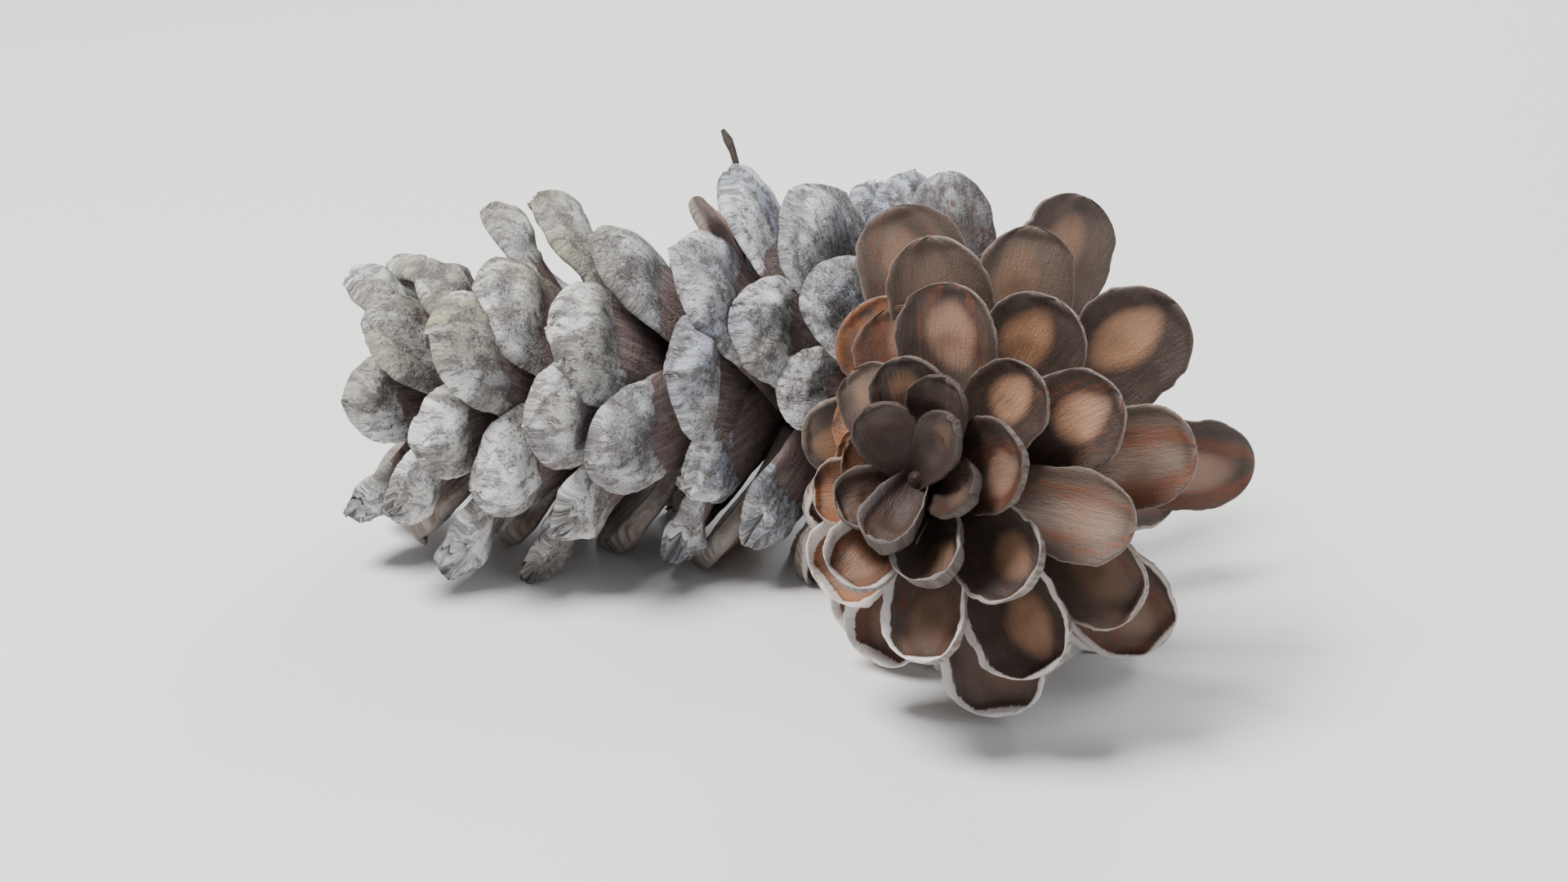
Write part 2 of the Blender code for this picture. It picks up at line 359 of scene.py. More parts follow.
# one scale, the shape that both pieces of scales repeat
# a span is a pair: no effect at its first value, full effect at its second
scaleShape = {
    "segments": 40,
    "rings": 40,
    "baseSeed": 3,
    "tipSeed": 8,
    "chanceFactor": 7.31,  # makes a second chance of the first
    # outline, section and twist, in shares of length and width; half thickness in mm
    "shoulderPower": 1.4,
    "acrossPower": 0.8,
    "depthPower": 0.75,
    "upperSpan": (-0.05, 0.05),
    "halfThickness": ((0.0, 1.5), (0.3, 1.15), (0.6, 1.1), (0.8, 1.35), (0.95, 1.0), (1.0, 0.75)),
    "thinTipPower": 7.0,
    "blunting": 0.7,
    "loweredPointing": 0.55,
    "twist": 0.45,
    "twistDraw": (50.0, 0.0),
    # worn, chipped and torn edges, in shares
    "edgeWear": 0.11,
    "edgeWearGain": 4.0,
    "chipSpan": (0.56, 0.70),
    "chipPlace": (0.72, 0.90),
    "chipDepth": 0.14,
    "loweredChipDepth": 0.20,
    "tornTips": 0.16,
    "tornStretch": 2.6,
    "tornShift": 80.0,
    "tornFaceShift": 0.6,
    "tornNoise": (1.7, 2.0, 0.6),
    "tornSpan": (0.36, 0.66),
    "tornPlace": (0.72, 1.0),
    "tornEverywhere": 0.2,
    # relief on the faces: heights in mm, places as shares of the length
    "ripple": 0.7,
    "rippleGain": 2.0,
    "grooveDepth": 0.28,
    "tipSwelling": 0.34,
    "swellingSpan": 0.05,
    "tipKeel": 1.5,
    "keelEnd": 0.85,
    "tipCrags": 2.6,
    "cragStretch": (1.5, 4.6, 60.0),
    "cragLead": 0.1,
    "cragEnd": 0.8,
    "seedHollow": 0.35,
    "hollowPlace": 0.56,
    "hollowLength": 0.20,
    "hollowWidth": 0.52,
    "hollowSpan": (0.25, 1.15),
    # the border of the chalky tip, as a share of the length
    "border": 0.62,
    "borderWear": 0.30,
    "borderBow": 0.16,
    "borderSlant": 0.35,
    "slantDraw": (33.0, 4.0),
    # the rim, mostly of the brown scales: a bead in mm, and a curl in mm at a share of the width squared
    "rimBead": 0.22,
    "beadRise": (0.74, 0.90),
    "beadFall": (0.93, 1.0),
    "beadOnBrown": 1.2,
    "beadLowered": 4.0,
    "rimCurl": 17.0,
    "curlFrom": 0.70,
    "curlEverywhere": 0.2,
    # noise: stretch across and along the scale, shift by its chance, size, detail, roughness
    "noise": {
        "wear": (1.3, 4.0, 90.0, 1.6, 3.0, 0.6),
        "chips": (1.3, 4.0, 90.0, 4.5, 2.0, 0.5),
        "grooves": (5.0, 1.2, 70.0, 2.2, 3.0, 0.55),
        "ripple": (1.2, 2.2, 40.0, 1.3, 1.0, 0.5),
    },
    "grainShift": 300.0,
}


def scaleTree():
    shape = scaleShape
    inputs = {
        "Segments": ("NodeSocketInt", shape["segments"]),
        "Rings": ("NodeSocketInt", shape["rings"]),
        "Edge Wear": ("NodeSocketFloat", shape["edgeWear"]),
        "Ripple": ("NodeSocketFloat", shape["ripple"] * mm),
        "Tip Swelling": ("NodeSocketFloat", shape["tipSwelling"] * mm),
        "Tip Keel": ("NodeSocketFloat", shape["tipKeel"] * mm),
        "Tip Crags": ("NodeSocketFloat", shape["tipCrags"] * mm),
        "Torn Tips": ("NodeSocketFloat", shape["tornTips"]),
        "Seed Hollow": ("NodeSocketFloat", shape["seedHollow"] * mm),
        "Rim Bead": ("NodeSocketFloat", shape["rimBead"] * mm),
        "Rim Curl": ("NodeSocketFloat", shape["rimCurl"] * mm),
        "Seed": ("NodeSocketInt", 0),
        "Material": ("NodeSocketMaterial", None),
    }
    tree, make, given = newTree("scaleGrowth", inputs)

    def named(name, kind="FLOAT"):
        return make.add("GeometryNodeInputNamedAttribute", {"data_type": kind}, {"Name": name})

    def store(geometry, name, value, kind="FLOAT"):
        settings = {"data_type": kind, "domain": "POINT"}
        return make.add("GeometryNodeStoreNamedAttribute", settings,
                        {"Geometry": geometry, "Name": name, "Value": value})

    # a ball at every root; its own place on the ball says where a point goes on the scale
    ball = make.add("GeometryNodeMeshUVSphere", None,
                    {"Segments": given["Segments"], "Rings": given["Rings"], "Radius": 1.0})
    ball = store(ball, "ballPoint", make.add("GeometryNodeInputPosition"), "FLOAT_VECTOR")
    chance = make.add("FunctionNodeRandomValue", {"data_type": "FLOAT"}, {"Seed": given["Seed"]}, 1)
    points = store(given["Geometry"], "chance", chance)
    points = store(points, "otherChance", make.math("FRACT", chance * shape["chanceFactor"]))
    placed = make.add("GeometryNodeInstanceOnPoints", None, {"Points": points, "Instance": ball})
    grown = make.add("GeometryNodeRealizeInstances", None, {"Geometry": placed})

    ballX, ballY, ballZ = make.parts(named("ballPoint", "FLOAT_VECTOR"))
    ringRadius = (ballX * ballX + ballY * ballY) ** 0.5
    ringX, ringY = ballX / ringRadius, ballY / ringRadius
    share = make.math("SINE", make.math("ARCCOSINE", ballZ * -1.0) * 0.5)  # 0 at the root, 1 at the tip

    def swollen(value, power):
        # the value's own sign, with its size raised to a power
        return make.math("SIGN", value) * make.math("ABSOLUTE", value) ** power

    across = swollen(ringX, shape["acrossPower"])
    depth = swollen(ringY, shape["depthPower"])
    distanceAcross = make.math("ABSOLUTE", across)
    upper = make.step(depth, *shape["upperSpan"])

    # what each scale brings with it
    chanceHere, otherChance = named("chance"), named("otherChance")
    widest, neck = named("widestAt"), named("neckShare")
    length, halfWidth = named("scaleLength"), named("halfWidth")
    weathering, lowered = named("weathering"), named("lowered")

    def pattern(name, sideways):
        # a noise that is different on every scale
        stretchAcross, stretchAlong, shift, size, detail, roughness = shape["noise"][name]
        point = make.vector(sideways * stretchAcross, share * stretchAlong, chanceHere * shift)
        return make.noise(point, size, detail, roughness)

    def drawn(stretch, row):
        # one value for the whole scale, from -0.5 to 0.5
        point = make.vector(chanceHere * stretch, row, 0.0)
        return make.noise(point, size=1.0, detail=0.0) - 0.5

    # the outline: a narrower neck, a wide blade, a round tip with chips in it
    rise = make.math("MINIMUM", share / widest, 1.0)
    widening = neck + (1 - neck) * make.math("SINE", rise * (math.pi / 2)) ** shape["shoulderPower"]
    fall = make.math("MAXIMUM", (share - widest) / (1 - widest), 0.0)
    blunter = 1 + weathering * (otherChance * shape["blunting"] - lowered * shape["loweredPointing"])
    tipFall = fall ** (named("tipPower") * blunter)
    outline = widening * make.math("MAXIMUM", 1 - tipFall, 0.0) ** named("tipRounding")
    wear = pattern("wear", ringX) - 0.5
    chips = make.step(pattern("chips", ringX), *shape["chipSpan"])
    chips = chips * make.step(share, *shape["chipPlace"]) * weathering
    chipDepth = shape["chipDepth"] + lowered * shape["loweredChipDepth"]
    worn = wear * given["Edge Wear"] * shape["edgeWearGain"] * share
    wornOutline = outline * (1.0 + worn - chips * chipDepth)

    thickest = max(value for place, value in shape["halfThickness"])
    curve = [(place, value / thickest) for place, value in shape["halfThickness"]]
    profile = make.add("ShaderNodeFloatCurve", {"curve": curve}, {"Value": share})
    thinTip = make.math("MAXIMUM", 1 - fall ** shape["thinTipPower"], 0.0) ** 0.5
    halfDepth = profile * (thickest * mm) * named("thickness") * thinTip

    # relief on the faces: a rim bead, a swollen and keeled tip with crags, a seed hollow, grooves
    edge = make.math("MAXIMUM", distanceAcross, fall)
    bead = make.step(edge, *shape["beadRise"]) * (1 - make.step(edge, *shape["beadFall"]))
    relief = bead * given["Rim Bead"] * (shape["beadOnBrown"] - weathering)
    relief = relief * (1 + lowered * shape["beadLowered"])
    slant = drawn(*shape["slantDraw"])
    border = shape["border"] + shape["borderWear"] * wear - shape["borderBow"] * (distanceAcross ** 2.0)
    border = border + shape["borderSlant"] * slant * across
    swelling = make.step(share, border, border + shape["swellingSpan"]) * weathering
    relief = relief + swelling * given["Tip Swelling"]
    keel = (1 - distanceAcross) * make.step(share, border, shape["keelEnd"]) * weathering * upper
    relief = relief + keel * given["Tip Keel"]
    cragAcross, cragAlong, cragShift = shape["cragStretch"]
    cragPoint = make.vector(across * cragAcross, share * cragAlong, chanceHere * cragShift)
    crags = make.add("ShaderNodeTexVoronoi", {"distance": "CHEBYCHEV"},
                     {"Vector": cragPoint, "Scale": 1.0}, "Distance")
    cragged = make.step(share, border - shape["cragLead"], shape["cragEnd"]) * weathering
    relief = relief + (0.5 - crags) * given["Tip Crags"] * cragged
    hollowPlace = ((share - shape["hollowPlace"]) / shape["hollowLength"]) ** 2.0
    hollowPlace = hollowPlace + (distanceAcross / shape["hollowWidth"]) ** 2.0
    hollow = 1 - make.step(hollowPlace, *shape["hollowSpan"])
    relief = relief - hollow * given["Seed Hollow"] * (1 - weathering) * upper
    grooves = pattern("grooves", across) - 0.5
    relief = relief + grooves * (shape["grooveDepth"] * mm) * (0.5 + share)

    # the arc that the scale follows from its root, shorter where the tip is torn
    rootAngle, turn = named("rootAngle"), named("turnAngle")
    tornPoint = make.vector(
        ringX * shape["tornStretch"], chanceHere * shape["tornShift"], upper * shape["tornFaceShift"])
    torn = make.step(make.noise(tornPoint, *shape["tornNoise"]), *shape["tornSpan"])
    torn = torn * make.step(share, *shape["tornPlace"])
    tornShare = share - torn * given["Torn Tips"] * (shape["tornEverywhere"] + lowered) * weathering
    angle = rootAngle + turn * tornShare
    sineAngle, cosineAngle = make.math("SINE", angle), make.math("COSINE", angle)
    reach = (sineAngle - make.math("SINE", rootAngle)) / turn * length
    climb = (make.math("COSINE", rootAngle) - cosineAngle) / turn * length
    forward, outward = named("forward", "FLOAT_VECTOR"), named("outward", "FLOAT_VECTOR")
    side = make.cross(forward, outward)
    normal = forward * sineAngle - outward * cosineAngle
    centre = named("root", "FLOAT_VECTOR") + forward * reach + outward * climb

    # cupping, a slight twist and a soft ripple, more of both towards the tip, and a curled rim
    lift = named("cup") * halfWidth * outline * (distanceAcross * distanceAcross - 0.5)
    twist = drawn(*shape["twistDraw"]) * shape["twist"]
    lift = lift + twist * across * halfWidth * outline * share
    ripple = pattern("ripple", across) - 0.5
    lift = lift + ripple * given["Ripple"] * shape["rippleGain"] * share
    curl = make.math("MAXIMUM", edge - shape["curlFrom"], 0.0) ** 2.0
    curl = curl * given["Rim Curl"] * (1 - weathering)
    lift = lift + curl * (shape["curlEverywhere"] + lowered)
    height = depth * (halfDepth + relief) + lift
    place = centre + side * (across * halfWidth * wornOutline) + normal * height
    grown = make.add("GeometryNodeSetPosition", None, {"Geometry": grown, "Position": place})

    # what the materials read; grainPoint is in mm across and along the scale
    shown = {
        "alongShare": share,
        "acrossShare": across,
        "edgeShare": edge,
        "upperFace": upper,
        "tipBorder": border,
        "crags": crags,
    }
    for name, value in shown.items():
        grown = store(grown, name, value)
    grainPoint = make.vector(
        across * halfWidth * outline / mm, share * length / mm, chanceHere * shape["grainShift"])
    grown = store(grown, "grainPoint", grainPoint, "FLOAT_VECTOR")
    grown = make.add("GeometryNodeSetShadeSmooth", None, {"Geometry": grown})
    grown = make.add("GeometryNodeSetMaterial", None, {"Geometry": grown, "Material": given["Material"]})
    make.add("NodeGroupOutput", None, {"Geometry": grown})
    return tree


def scalePoints(scales):
    # one point for every scale, with its growth as attributes, in metres and radians
    mesh = bpy.data.meshes.new("scalePoints")
    mesh.from_pydata([scale["root"] * mm for scale in scales], [], [])
    for name in ("root", "forward", "outward"):
        layer = mesh.attributes.new(name, "FLOAT_VECTOR", "POINT")
        unit = mm if name == "root" else 1.0
        for item, scale in zip(layer.data, scales):
            item.vector = scale[name] * unit
    numbers = [name for name, value in scales[0].items() if isinstance(value, float)]
    for name in numbers:
        layer = mesh.attributes.new(name, "FLOAT", "POINT")
        unit = mm if name in ("scaleLength", "halfWidth") else 1.0
        for item, scale in zip(layer.data, scales):
            item.value = scale[name] * unit
    return mesh


# the woody axis with its stalk, and the dried thread, are tubes along a line of points, in mm
tubes = {
    "axisSides": 40,
    "axisGap": 2.0,
    "stalkLength": 6.5,
    "stalkRadius": 3.4,
    "stalkRootLength": 1.3,
    "tipPointLength": 2.0,
    "tipPointShare": 0.12,
    "barkHeight": 0.5,
    "barkScale": 350.0,  # a noise scale, on metres
    "threadSides": 12,
    "threadSteps": 24,
    "threadPlace": 0.36,
    "threadRadii": ((0.0, 1.2), (0.9, 0.5), (0.96, 0.75), (1.0, 0.35)),
    "threadLength": 40.3,
    "hookStart": 0.8,
    "hookReach": 55.0,
    "threadUp": 0.85,
    "threadLeft": 0.52,
    "threadHeight": 0.12,
    "threadScale": 900.0,
    "reliefDetail": 4.0,
    "reliefRoughness": 0.6,
}


def tubeTree():
    inputs = {
        "Sides": ("NodeSocketInt", tubes["axisSides"]),
        "Relief": ("NodeSocketFloat", tubes["barkHeight"] * mm),
        "Relief Scale": ("NodeSocketFloat", tubes["barkScale"]),
        "Material": ("NodeSocketMaterial", None),
    }
    tree, make, given = newTree("tubeGrowth", inputs)
    radius = make.add("GeometryNodeInputNamedAttribute", {"data_type": "FLOAT"}, {"Name": "tubeRadius"})
    line = make.add("GeometryNodeMeshToCurve", None, {"Mesh": given["Geometry"]})
    circle = {"Resolution": given["Sides"], "Radius": 1.0}
    section = make.add("GeometryNodeCurvePrimitiveCircle", None, circle)
    tubeInputs = {"Curve": line, "Profile Curve": section, "Fill Caps": True, "Scale": radius}
    tube = make.add("GeometryNodeCurveToMesh", None, tubeInputs)
    place = make.add("GeometryNodeInputPosition")
    bark = make.noise(place, given["Relief Scale"], tubes["reliefDetail"], tubes["reliefRoughness"]) - 0.5
    offset = make.add("GeometryNodeInputNormal") * (bark * given["Relief"])
    tube = make.add("GeometryNodeSetPosition", None, {"Geometry": tube, "Offset": offset})
    tube = make.add("GeometryNodeSetShadeSmooth", None, {"Geometry": tube})
    tube = make.add("GeometryNodeRealizeInstances", None, {"Geometry": tube})
    tube = make.add("GeometryNodeSetMaterial", None, {"Geometry": tube, "Material": given["Material"]})
    make.add("NodeGroupOutput", None, {"Geometry": tube})
    return tree


def linePoints(name, points, radii):
    mesh = bpy.data.meshes.new(name)
    edges = [(i, i + 1) for i in range(len(points) - 1)]
    mesh.from_pydata([point * mm for point in points], edges, [])
    layer = mesh.attributes.new("tubeRadius", "FLOAT", "POINT")
    for item, radius in zip(layer.data, radii):
        item.value = radius * mm
    return mesh


def axisPoints():
    point, forward = frameAt(0)[:2]
    points = [point - forward * tubes["stalkLength"], point - forward * tubes["stalkRootLength"]]
    radii = [tubes["stalkRadius"]] * 2
    count = round(cone["axisLength"] / tubes["axisGap"])
    for i in range(count + 1):
        point, forward = frameAt(cone["axisLength"] * i / count)[:2]
        points.append(point)
        radii.append(along(profiles["axisRadius"], i / count))
    points.append(point + forward * tubes["tipPointLength"])
    radii.append(radii[-1] * tubes["tipPointShare"])
    return linePoints("axisLine", points, radii)


def threadPoints():
    point, forward, left, up = frameAt(tubes["threadPlace"] * cone["axisLength"])
    lean = (up * tubes["threadUp"] + left * tubes["threadLeft"]).normalized()
    points, radii = [], []
    for i in range(tubes["threadSteps"] + 1):
        share = i / tubes["threadSteps"]
        hook = max(0.0, share - tubes["hookStart"]) ** 2 * tubes["hookReach"]
        points.append(point + lean * (share * tubes["threadLength"]) - forward * hook)
        radii.append(along(tubes["threadRadii"], share))
    return linePoints("threadLine", points, radii)


# materials
def startMaterial(name):
    material = bpy.data.materials.new(name)
    material.use_nodes = True
    tree = material.node_tree
    make = Maker(tree)
    shader = tree.nodes["Principled BSDF"]
    return material, make, shader


def blend(make, factor, first, second):
    first = (*first, 1) if isinstance(first, tuple) else first
    second = (*second, 1) if isinstance(second, tuple) else second
    inputs = {"Factor": factor, 6: first, 7: second}
    return make.add("ShaderNodeMix", {"data_type": "RGBA"}, inputs, 2)


def read(make, name, output="Fac"):
    return make.add("ShaderNodeAttribute", {"attribute_name": name}, None, output)


# colours of the scales
chalk = (0.37, 0.36, 0.34)
blueChalk = (0.36, 0.41, 0.52)
lichenGrey = (0.30, 0.285, 0.185)
dullGrey = (0.17, 0.158, 0.15)
crackAndShadeGrey = (0.10, 0.09, 0.09)
speckBlack = (0.035, 0.03, 0.034)
chalkAndHighlightWhite = (0.80, 0.80, 0.81)
fadedPlum = (0.25, 0.205, 0.19)
plumBrown = (0.135, 0.088, 0.085)
deepBrown = (0.030, 0.017, 0.013)
greyBrown = (0.140, 0.096, 0.074)
darkBrown = (0.050, 0.031, 0.024)
tan = (0.52, 0.27, 0.145)
pinkTan = (0.53, 0.31, 0.22)
redBrown = (0.20, 0.055, 0.022)
orangeBrown = (0.30, 0.105, 0.035)
outerGrey = (0.30, 0.265, 0.24)
paleRim = (0.46, 0.37, 0.30)
whiteRim = (0.82, 0.77, 0.75)

scaleLook = {
    # noise on grainPoint: stretch, size, detail, roughness
    "noise": {
        "streaks": ((1.6, 0.16, 1.0), 1.0, 5.0, 0.65),
        "fineStreaks": ((5.0, 0.6, 1.0), 1.0, 4.0, 0.6),
        "mottle": ((1.0, 1.0, 1.0), 0.55, 4.0, 0.6),
        "clouds": ((1.0, 0.5, 1.0), 0.16, 2.0, 0.45),
        "speckles": ((1.0, 1.0, 1.0), 2.6, 3.0, 0.7),
        "blotches": ((1.0, 0.5, 1.0), 0.62, 5.0, 0.7),
    },
    "blotchShift": (40.0, 0.0, 0.0),
    "patchNoise": (38.0, 3.0, 0.55),  # on metres
    # coats: the span of the value that shows them, how strongly they show, their colour
    "coats": {
        "dull": ((0.44, 0.62), 0.85, dullGrey),
        # partly the chalk's bleached whiteness, partly a painted highlight
        "bleachedAndHighlit": ((0.46, 0.62), 0.65, chalkAndHighlightWhite),
        "blotched": ((0.50, 0.60), 0.75, crackAndShadeGrey),
        "streaked": ((0.54, 0.64), 0.5, crackAndShadeGrey),
        # cragged: painted shade, the low spots between the crags darkened
        "cragged": ((0.38, 0.62), 0.6, crackAndShadeGrey),
        "specked": ((0.56, 0.66), 0.8, speckBlack),
        # partly the chalk's own white, partly a painted highlight
        "whitened": ((0.58, 0.70), 0.6, chalkAndHighlightWhite),
        "faded": ((0.35, 0.7), 1.0, fadedPlum),
        "stained": ((0.52, 0.72), 0.6, deepBrown),
        "darkened": ((0.30, 0.72), 1.0, darkBrown),
        "darkEdge": ((0.45, 0.95), 0.55, darkBrown),
        "outerStreaks": ((0.40, 0.62), 1.0, greyBrown),
        "outerSpecks": ((0.62, 0.74), 0.5, deepBrown),
        # painted shade: the hollow in the middle of the tip end darkened
        "shadedMiddle": ((0.91, 0.985), 0.85, deepBrown),
    },
    "cragMottle": 0.4,
    # blue and green tints of the chalk, by where they are on the cone, in metres
    "blueAlong": (-0.035, -0.005),
    "bluePatches": (0.34, 0.54),
    "greenAlong": (-0.045, -0.005),
    "greenHeight": (0.025, 0.05),
    "greenPatches": (0.30, 0.55),
    "tintStrength": 0.9,
    # the border of the chalky tip
    "borderStreaks": 0.12,
    "borderSpan": (-0.01, 0.02),
    # the brown scales: how far their chances shift them, red streaks, tan ovals that are partly a painted
    # highlight, orange ones by the bend
    "darkChance": 0.9,
    "asideChance": 0.4,
    "redRise": (0.22, 0.42),
    "redFall": (0.58, 0.85),
    "redChance": 0.3,
    "redStreaks": (0.45, 0.66),
    "redStrength": 0.6,
    "ovalPlace": 0.74,
    "ovalLength": 0.20,
    "ovalWidth": 0.52,
    "ovalClouds": 0.7,
    "ovalSpan": (0.10, 1.15),
    "ovalGrain": (0.75, 0.5),
    "ovalChance": (0.05, 0.85),
    "ovalStrength": (0.12, 0.65),
    "orangeChance": 0.5,
    "orangeSpan": (0.45, 0.75),
    "orangePatches": (0.30, 0.60),
    "orangeStrength": 0.7,
    # their rims: pale, and wide and white where a scale points down
    "rimWidth": 0.14,
    "rimWidthInward": 0.18,
    "rimGrain": 0.10,
    "rimSpan": (0.955, 0.99),
    "rimEverywhere": 0.2,
    "rimLowered": 0.95,
    "rimPlace": (0.5, 0.6),
    # weathered against brown, and painted shade on the roots, deep between the overlapping scales
    "weatheringMottle": 0.5,
    "weatheringSpan": (0.40, 0.60),
    "rootShadeSpan": (0.10, 0.58),
    "rootShadeStrength": 0.93,
    "roughness": 0.55,
    "roughnessMottle": 0.3,
    "chalkRoughness": 0.28,
    "rimRoughness": 0.1,
    "crackleStretch": (1.0, 0.5, 1.0),
    "crackleScale": 1.1,
    "crackleSpan": (0.0, 0.10),
    # what the bump is made of
    "bumpStreaks": 0.5,
    "bumpFineStreaks": 0.3,
    "bumpSpeckles": 0.25,
    "bumpCrackle": 0.12,
    "bumpStrength": 0.75,
    "bumpDistance": 0.6,  # mm
}


def scaleMaterial():
    material, make, shader = startMaterial("coneScales")
    look = scaleLook
    share, across, edge = read(make, "alongShare"), read(make, "acrossShare"), read(make, "edgeShare")
    upper, tipBorder, crags = read(make, "upperFace"), read(make, "tipBorder"), read(make, "crags")
    place, weathering = read(make, "place"), read(make, "weathering")
    lowered, inward = read(make, "lowered"), read(make, "inward")
    chance, other = read(make, "chance"), read(make, "otherChance") - 0.5
    grain = read(make, "grainPoint", "Vector")
    spot = make.add("ShaderNodeTexCoord", None, None, "Object")
    spotX, _, spotZ = make.parts(spot)

    def pattern(name, shift=(0.0, 0.0, 0.0)):
        stretch, size, detail, roughness = look["noise"][name]
        return make.noise(grain * stretch + shift, size, detail, roughness)

    def coat(base, name, value):
        span, strength, colour = look["coats"][name]
        return blend(make, make.step(value, *span) * strength, base, colour)

    streaks, fineStreaks = pattern("streaks"), pattern("fineStreaks")
    mottle, clouds, speckles = pattern("mottle"), pattern("clouds"), pattern("speckles")
    patches = make.noise(spot, *look["patchNoise"])

    # the weathered look: a chalky tip with a sharp border, purple-brown wood behind it
    bluer = make.step(spotX, *look["blueAlong"]) * make.step(patches, *look["bluePatches"])
    tipColour = blend(make, bluer * look["tintStrength"], chalk, blueChalk)
    greener = (1 - make.step(spotX, *look["greenAlong"])) * make.step(spotZ, *look["greenHeight"])
    greener = greener * make.step(1 - patches, *look["greenPatches"])
    tipColour = blend(make, greener * look["tintStrength"], tipColour, lichenGrey)
    tipColour = coat(tipColour, "dull", mottle)
    # white clouds on the tip: partly bleached chalk, partly painted highlight
    tipColour = coat(tipColour, "bleachedAndHighlit", 1 - clouds)
    tipColour = coat(tipColour, "blotched", pattern("blotches", look["blotchShift"]))
    tipColour = coat(tipColour, "streaked", streaks)
    # painted shade: the low spots between the crags darkened
    tipColour = coat(tipColour, "cragged", crags + (mottle - 0.5) * look["cragMottle"])
    tipColour = coat(tipColour, "specked", speckles)
    # white flecks on the tip: partly the chalk's own, partly painted highlight
    tipColour = coat(tipColour, "whitened", 1 - speckles)
    innerColour = coat(plumBrown, "faded", streaks)
    innerColour = coat(innerColour, "stained", mottle)
    pastBorder = share - tipBorder + (streaks - 0.5) * look["borderStreaks"]
    weathered = blend(make, make.step(pastBorder, *look["borderSpan"]), innerColour, tipColour)

    # the brown look: grey-brown wood with a tan oval, partly the wood's own tan and partly a painted
    # highlight on the domed face, with red-brown streaks beside it
    brown = coat(greyBrown, "darkened", clouds + (chance - 0.5) * look["darkChance"])
    brown = coat(brown, "darkEdge", edge)
    aside = make.math("ABSOLUTE", across + other * look["asideChance"])
    beside = make.step(aside, *look["redRise"]) * (1 - make.step(aside, *look["redFall"]))
    redder = make.step(streaks + other * look["redChance"], *look["redStreaks"])
    brown = blend(make, beside * redder * look["redStrength"], brown, redBrown)
    ovalPlace = ((share - look["ovalPlace"]) / look["ovalLength"]) ** 2.0
    ovalPlace = ovalPlace + (aside / look["ovalWidth"]) ** 2.0 + (clouds - 0.5) * look["ovalClouds"]
    oval = 1 - make.step(ovalPlace, *look["ovalSpan"])
    plainGrain, streakGrain = look["ovalGrain"]
    leastOval, mostOval = look["ovalStrength"]
    ovalStrength = make.step(chance, *look["ovalChance"]) * mostOval + leastOval
    # the tan oval: partly the wood's tan, partly a painted highlight
    tanHighlightMask = oval * (plainGrain + fineStreaks * streakGrain) * ovalStrength
    brown = blend(make, tanHighlightMask, brown, blend(make, other + 0.5, tan, pinkTan))
    orange = make.step(inward + other * look["orangeChance"], *look["orangeSpan"])
    orange = orange * make.step(mottle, *look["orangePatches"])
    brown = blend(make, orange * look["orangeStrength"], brown, orangeBrown)

    # their rims and their outer faces
    rimWidth = lowered * (look["rimWidth"] + inward * look["rimWidthInward"])
    rimPlace = edge + (fineStreaks - 0.5) * look["rimGrain"] + rimWidth
    rimMask = make.step(rimPlace, *look["rimSpan"])
    rimStrength = look["rimEverywhere"] + lowered * look["rimLowered"] * make.step(place, *look["rimPlace"])
    rimStrength = make.math("MINIMUM", rimStrength, 1.0)
    brown = blend(make, rimMask * rimStrength, brown, blend(make, lowered, paleRim, whiteRim))
    outerColour = coat(outerGrey, "outerStreaks", streaks)
    outerColour = coat(outerColour, "outerSpecks", speckles)
    brown = blend(make, upper, outerColour, brown)
    # painted shade: the scales in the hollow middle of the tip end darkened
    brown = coat(brown, "shadedMiddle", place)

    isWeathered = make.step(weathering + (mottle - 0.5) * look["weatheringMottle"], *look["weatheringSpan"])
    colour = blend(make, isWeathered, brown, weathered)
    # painted shade: each scale darkened towards its root, where the scales overlap
    rootShade = 1 - make.step(share, *look["rootShadeSpan"])
    colour = blend(make, rootShade * look["rootShadeStrength"], colour, deepBrown)
    make.put(shader.inputs["Base Color"], colour)

    chalky = make.step(weathering, *look["weatheringSpan"])
    roughness = look["roughness"] + chalky * look["chalkRoughness"]
    roughness = roughness + (mottle - 0.5) * look["roughnessMottle"] + rimMask * look["rimRoughness"]
    make.put(shader.inputs["Roughness"], roughness)
    crackle = make.add("ShaderNodeTexVoronoi", {"feature": "DISTANCE_TO_EDGE"},
                       {"Vector": grain * look["crackleStretch"], "Scale": look["crackleScale"]})
    height = streaks * look["bumpStreaks"] + fineStreaks * look["bumpFineStreaks"]
    height = height + speckles * look["bumpSpeckles"]
    height = height + make.step(crackle, *look["crackleSpan"]) * look["bumpCrackle"] * chalky
    bump = make.add("ShaderNodeBump", None, {
        "Strength": look["bumpStrength"], "Distance": look["bumpDistance"] * mm, "Height": height})
    make.put(shader.inputs["Normal"], bump)
    return material


# bark of the axis and skin of the thread; noise is scale on metres, detail, roughness
barkLook = {
    "mottle": (260.0, 5.0, 0.65),
    "fine": (1400.0, 3.0, 0.6),
    "mottleSpan": (0.35, 0.7),
    "roughness": 0.72,
    "roughnessSpread": 0.3,
    "bumpFine": 0.4,
    "bumpStrength": 0.7,
    "bumpDistance": 0.5,  # mm
    "axisColours": ((0.085, 0.052, 0.037), (0.03, 0.018, 0.013)),  # light, dark
    "threadColours": ((0.06, 0.045, 0.035), (0.012, 0.010, 0.009)),
}


